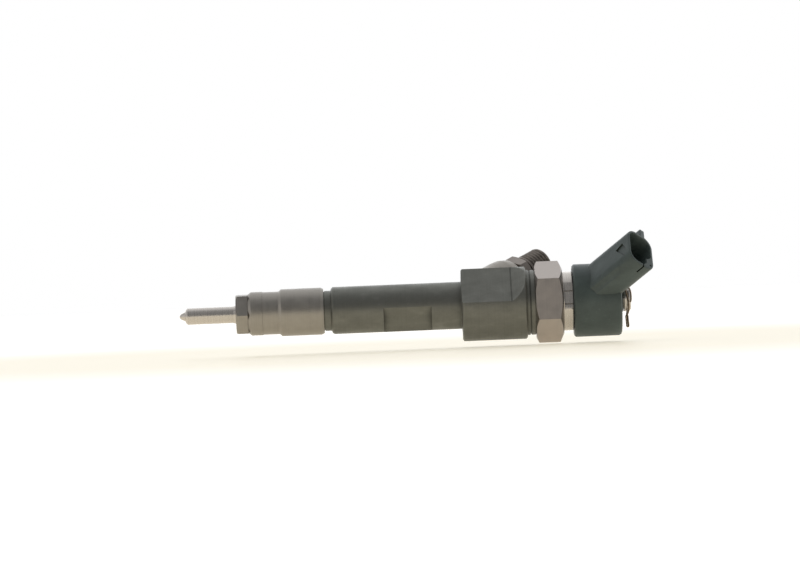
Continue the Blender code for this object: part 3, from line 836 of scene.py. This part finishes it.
def add_sleeve():
    skirt = [(151.6, 11.25), (152.4, 11.25), (152.4, 9.95), (154.8, 9.95), (154.8, 11.25)]
    flange = [(156.8, 11.25), (156.8, 13.2, 0.2), (160.2, 13.2, 0.2), (160.2, SLEEVE_R)]
    outside = skirt + flange + [(SLEEVE_REAR, SLEEVE_R, 0.25)]
    sleeve = lathe("magnet_sleeve_fine", outside, [(151.6, 9.3), (SLEEVE_REAR, 9.3, 0.2)])
    key_angle = math.radians(169)
    depth = 4.0
    middle = (165.9, 11.1 + depth / 2, 0)
    boolean(sleeve, block("sleeve_flat", middle, (4.8, depth, 24), INJECTOR, key_angle))
    for height in (-2.15, 3.4):
        slot = block("sleeve_slot", (165.9, 11.0, height), (4.8, 1.6, 0.5), INJECTOR, key_angle)
        boolean(sleeve, slot)
    finish_piece(sleeve, MATERIALS["bright_steel"], "injector", "bright_steel", "magnet_sleeve")


def connector_outline(inset):
    return rounded_outline(6.9 - inset, 9.5 - inset, 5.0 - inset)


def cut_socket(housing):
    """Cuts the broad part of the socket and a narrower one, which leaves a key in its corner."""
    steps = [(SOCKET_FLOOR, 0.5), (24.9, 0.0), (37.9, 0.0), (CONNECTOR_MOUTH, -0.25), (46.0, -0.25)]
    corner = 3.5
    for half_y, half_z, middle_y, middle_z in ((5.7, 5.65, 0.1, -2.35), (4.3, 8.0, 1.5, 0.0)):
        sections = []
        for t, inset in steps:
            outline = rounded_outline(half_y - inset, half_z - inset, corner - inset, middle_y)
            sections.append((t, [(y, z + middle_z) for y, z in outline]))
        boolean(housing, prism("socket", sections, CONNECTOR))


def valley_cutter():
    """A round tool that leaves a shallow hollow along the connector's camera-side corner."""
    radius, depth = 5.0, 0.5
    corner_r, root, fade, end = 5.0, 5.0, 29.0, 34.0
    corner = Matrix.Translation((0.0, 1.9 * MM, 4.5 * MM))
    turn = Matrix.Rotation(math.radians(52), 4, "X")
    lift = Matrix.Translation((0.0, (corner_r + radius - depth) * MM, 0.0))
    side = [(root, radius), (fade, radius, 4.0), (31.0, 4.4, 2.0), (end, 3.0)]
    profile = [(root, 0)] + side + [(end, 0)]
    return lathe("valley", profile, None, CONNECTOR @ corner @ turn @ lift, 96)


def add_housing():
    plug = [(166.2, 8.9, 0.2), (HOUSING_FRONT, 8.9)]
    can = [(HOUSING_FRONT, 14.7, 0.1), (168.15, HOUSING_R, 0.25), (186.5, HOUSING_R, 0.5)]
    rear = [(187.45, 15.0, 0.4), (HOUSING_REAR, 14.0, 0.3)]
    lip = [(HOUSING_REAR, 5.45, 0.2), (188.8, 5.45, 0.25)]
    outside = plug + can + rear + lip
    duct = [(166.2, 1.6), (179.0, 1.6), (179.0, 4.3), (188.8, 4.3)]
    housing = lathe("solenoid_housing_fine", outside, duct, INJECTOR, FINE_SEGMENTS)
    steps = [(8.0, 0.0), (37.9, 0.0), (38.2, 0.08), (38.35, 0.22), (CONNECTOR_MOUTH, 0.4)]
    sections = [(t, connector_outline(inset)) for t, inset in steps]
    connector = prism("connector", sections, CONNECTOR)
    boolean(connector, valley_cutter())
    boolean(housing, connector, "UNION")
    nub = block("nub", (37.1, -1.85, -11.1), (2.5, 2.4, 4.4), CONNECTOR)
    break_edges(nub, 0.25)
    boolean(housing, nub, "UNION")
    boolean(housing, offset_rod("spigot_pocket", 179.0, 190.0, 4.3, 0.0, 0.0))
    cut_socket(housing)
    slit = block("slit", (37.9, -0.8, 9.0), (7.6, 0.65, 2.6), CONNECTOR)
    boolean(housing, slit)
    hole_place = CONNECTOR @ Matrix.Translation((0, -5.1 * MM, 6.2 * MM))
    boolean(housing, lathe("rim_hole", rod_profile(35.0, 41.0, 0.5), None, hole_place, 20))
    recess = ((30.3, -1.3), (34.3, -2.6), (36.4, 1.7), (35.0, 5.3))
    boolean(housing, prism_across("wedge", recess, 6.3, 9.0, CONNECTOR))
    for side in (-TERMINAL_SIDE, TERMINAL_SIDE):
        pocket = block("pocket", (25.6, TERMINAL_OFFSET, side), (14.1, 3.0, 1.4), CONNECTOR)
        boolean(housing, pocket)
    nylon = "housing_plastic"
    finish_piece(housing, MATERIALS[nylon], "injector", nylon, "solenoid_housing")


def add_terminal_pins():
    low, high, taper = 18.85, 32.35, 1.2
    outline = rounded_outline(1.2, 0.4, 0.12, 0.0, 2)
    tip = [(y * 0.55, z * 0.4) for y, z in outline]
    sections = [(low, outline), (high - taper, outline), (high, tip)]
    for side, node in ((-TERMINAL_SIDE, "terminal_pin_a"), (TERMINAL_SIDE, "terminal_pin_b")):
        place = CONNECTOR @ Matrix.Translation((0, TERMINAL_OFFSET * MM, side * MM))
        blade = prism(node + "_fine", sections, place)
        finish_piece(blade, MATERIALS["terminal_brass"], "injector", "terminal_brass", node)


def add_spigot():
    front = [(179.3, 4.0, 0.2), (189.1, 4.0), (189.1, SPIGOT_R, 0.2), (190.1, SPIGOT_R)]
    groove = [(190.15, 5.0), (190.85, 5.0), (190.9, SPIGOT_R - 0.05, 0.1)]
    rear = [(191.3, SPIGOT_R - 0.1, 0.3), (SPIGOT_REAR, 4.6, 0.4)]
    inside = [(179.3, 1.6), (184.5, 1.6), (184.5, 3.5), (SPIGOT_REAR, 3.5, 0.3)]
    spigot = lathe("return_spigot_fine", front + groove + rear, inside)
    finish_piece(spigot, MATERIALS["bright_steel"], "injector", "bright_steel", "return_spigot")


def smooth_path(points):
    """A Catmull-Rom curve through given points."""
    steps = 6
    padded = [points[0] * 2 - points[1], *points, points[-1] * 2 - points[-2]]
    path = []
    for i in range(1, len(padded) - 2):
        a, b, c, d = padded[i - 1 : i + 3]
        for step in range(steps):
            t = step / steps
            square = (2 * a - 5 * b + 4 * c - d) * t**2
            cube = (3 * b - a - 3 * c + d) * t**3
            path.append(0.5 * (2 * b + (c - a) * t + square + cube))
    path.append(padded[-2])
    return path


def add_return_clip():
    """A wire fork astride the spigot, with a doubled tail below and a hooked front end."""
    leg_y = SPIGOT_R + 0.96
    tail = [(190.4, 0.16, -11.5), (190.3, 0.16, -9.8), (190.2, 0.25, -8.4), (190.2, 1.2, -7.3)]
    leg = [(190.35, 3.5, -6.5), (190.7, 5.6, -5.2), (190.9, leg_y, -3.0)]
    leg += [(190.5, leg_y, 0.4), (189.9, leg_y, 3.0)]
    hook = [(189.9, leg_y - 0.1, 4.3), (190.7, leg_y - 0.1, 4.8), (191.5, leg_y - 0.1, 3.8)]
    hook_end = [(191.9, leg_y - 0.1, 1.8), (191.9, leg_y - 0.1, -0.2), (191.6, leg_y - 0.1, -1.6)]
    strand_gap = 0.37
    front = [(x - strand_gap, -y, z) for x, y, z in tail]
    front += [(x, -y, z) for x, y, z in leg + hook + hook_end]
    back = [(x + strand_gap, y, z) for x, y, z in tail] + leg + hook[:2]
    bend = [(190.4 - 0.2, 0.0, -11.9), (190.4 + 0.2, 0.0, -11.9)]
    points = [Vector(p) * MM for p in front[::-1] + bend + back]
    curve = bpy.data.curves.new("return_clip_fine", "CURVE")
    curve.dimensions = "3D"
    curve.bevel_depth = 0.36 * MM
    curve.bevel_resolution = 4
    curve.use_fill_caps = True
    path = smooth_path(points)
    spline = curve.splines.new("POLY")
    spline.points.add(len(path) - 1)
    for point, spot in zip(spline.points, path):
        point.co = (*spot, 1.0)
    clip = add_object("return_clip_fine", curve, INJECTOR)
    finish_piece(clip, MATERIALS["clip_wire"], "clip", "clip_wire", "return_clip")


def dress_cad_nodes():
    """Gives every CAD node that still shows the material of its slot."""
    slots = {entry["node"]: entry["material_slot"] for entry in frame["record"]["subparts"]}
    for node, obj in frame["nodes"].items():
        if obj.hide_render:
            continue
        obj.data.materials.clear()
        obj.data.materials.append(MATERIALS[slots[node]])


# ---------------------------------------------------------------- stage


def add_floor():
    """A pale floor that glows: its emission paints a warm glow near the part and white far from it.
    """
    mesh = bpy.data.meshes.new("floor")
    shape = bmesh.new()
    half_size, drop = 6.0, 0.0006
    bmesh.ops.create_grid(shape, x_segments=1, y_segments=1, size=half_size)
    shape.to_mesh(mesh)
    shape.free()
    floor = add_object("floor", mesh, Matrix.Translation((0, 0, -drop)))
    material = bpy.data.materials.new("floor")
    material.use_nodes = True
    tree = material.node_tree
    shader = tree.nodes["Principled BSDF"]
    shader.inputs["Base Color"].default_value = (0.74, 0.66, 0.53, 1.0)
    shader.inputs["Roughness"].default_value = 0.5
    shader.inputs["IOR"].default_value = 1.6
    coords = tree.nodes.new("ShaderNodeTexCoord")
    reach = tree.nodes.new("ShaderNodeVectorMath")
    reach.operation = "LENGTH"
    tree.links.new(coords.outputs["Object"], reach.inputs[0])
    away = tree.nodes.new("ShaderNodeMapRange")
    away.interpolation_type = "SMOOTHSTEP"
    away.inputs["From Min"].default_value = 0.2
    away.inputs["From Max"].default_value = 0.6
    tree.links.new(reach.outputs["Value"], away.inputs["Value"])
    # Painted glow: the floor's emission, warm and dimmer near the part, white far from it.
    glow = tree.nodes.new("ShaderNodeMix")
    glow.data_type = "RGBA"
    glow.inputs[6].default_value = (0.42, 0.4, 0.335, 1.0)
    glow.inputs[7].default_value = (0.62, 0.62, 0.62, 1.0)
    tree.links.new(away.outputs["Result"], glow.inputs["Factor"])
    tree.links.new(glow.outputs[2], shader.inputs["Emission Color"])
    shader.inputs["Emission Strength"].default_value = 1.0
    mesh.materials.append(material)


def add_world():
    """A studio tent: white behind and above, dimmer on the camera's side."""
    world = bpy.data.worlds.new("studio")
    bpy.context.scene.world = world
    world.use_nodes = True
    tree = world.node_tree
    background = tree.nodes["Background"]
    coords = tree.nodes.new("ShaderNodeTexCoord")
    split = tree.nodes.new("ShaderNodeSeparateXYZ")
    tree.links.new(coords.outputs["Generated"], split.inputs["Vector"])
    depth = tree.nodes.new("ShaderNodeMapRange")
    depth.inputs["From Min"].default_value = -1.0
    depth.inputs["From Max"].default_value = 1.0
    tree.links.new(split.outputs["Y"], depth.inputs["Value"])
    ramp = tree.nodes.new("ShaderNodeValToRGB")
    levels = ((-1.0, 0.2), (-0.5, 0.29), (0.0, 0.38), (0.45, 0.64), (0.77, 0.95), (1.0, 1.5))
    elements = ramp.color_ramp.elements
    while len(elements) < len(levels):
        elements.new(0.5)
    for element, (direction, level) in zip(elements, levels):
        element.position = (direction + 1) / 2
        element.color = (level * 0.98, level, level * 1.02, 1.0)
    tree.links.new(depth.outputs["Result"], ramp.inputs["Fac"])
    seen = tree.nodes.new("ShaderNodeLightPath")
    mix = tree.nodes.new("ShaderNodeMix")
    mix.data_type = "RGBA"
    mix.inputs[7].default_value = (1.0, 1.0, 1.0, 1.0)
    tree.links.new(seen.outputs["Is Camera Ray"], mix.inputs["Factor"])
    tree.links.new(ramp.outputs["Color"], mix.inputs[6])
    tree.links.new(mix.outputs[2], background.inputs["Color"])


def add_softbox(name, place, aim, size, power, colour):
    light = bpy.data.lights.new(name, "AREA")
    light.shape = "RECTANGLE"
    light.size, light.size_y = size
    light.energy = power
    light.color = colour
    obj = bpy.data.objects.new(name, light)
    bpy.context.scene.collection.objects.link(obj)
    obj.location = place
    obj.rotation_euler = (Vector(aim) - Vector(place)).to_track_quat("-Z", "Y").to_euler()


def add_lights():
    middle = (0.0, 0.0, AXIS_Z)
    add_softbox("top_softbox", (0.0, 0.15, 0.9), middle, (1.2, 0.7), 0.5, (0.95, 0.97, 1.0))
    add_softbox("left_softbox", (-0.9, -0.35, 0.35), middle, (0.6, 0.6), 0.4, (1.0, 0.98, 0.95))


def add_camera():
    """A long lens square to the injector's axis, rolled so that the axis rises to the right."""
    camera = bpy.data.cameras.new("camera")
    camera.sensor_width = 36.0
    camera.lens = 200.0
    view_width = 0.3404
    distance = view_width * camera.lens / camera.sensor_width
    roll = math.radians(2.37)
    obj = bpy.data.objects.new("camera", camera)
    bpy.context.scene.collection.objects.link(obj)
    aim = Vector((TIP_X + 94.26 * MM, AXIS_Y, AXIS_Z + 9.5 * MM))
    look = Matrix.Rotation(math.radians(90), 4, "X")
    stand = Matrix.Translation(aim + Vector((0, -distance, 0)))
    obj.matrix_world = stand @ Matrix.Rotation(roll, 4, "Y") @ look
    bpy.context.scene.camera = obj
    bpy.context.scene.view_settings.view_transform = "Standard"


add_nozzle()
add_nozzle_nut()
add_injector_body()
add_inlet_union()
add_coupling_nut()
add_sleeve()
add_housing()
add_terminal_pins()
add_spigot()
add_return_clip()
dress_cad_nodes()
add_floor()
add_world()
add_lights()
add_camera()
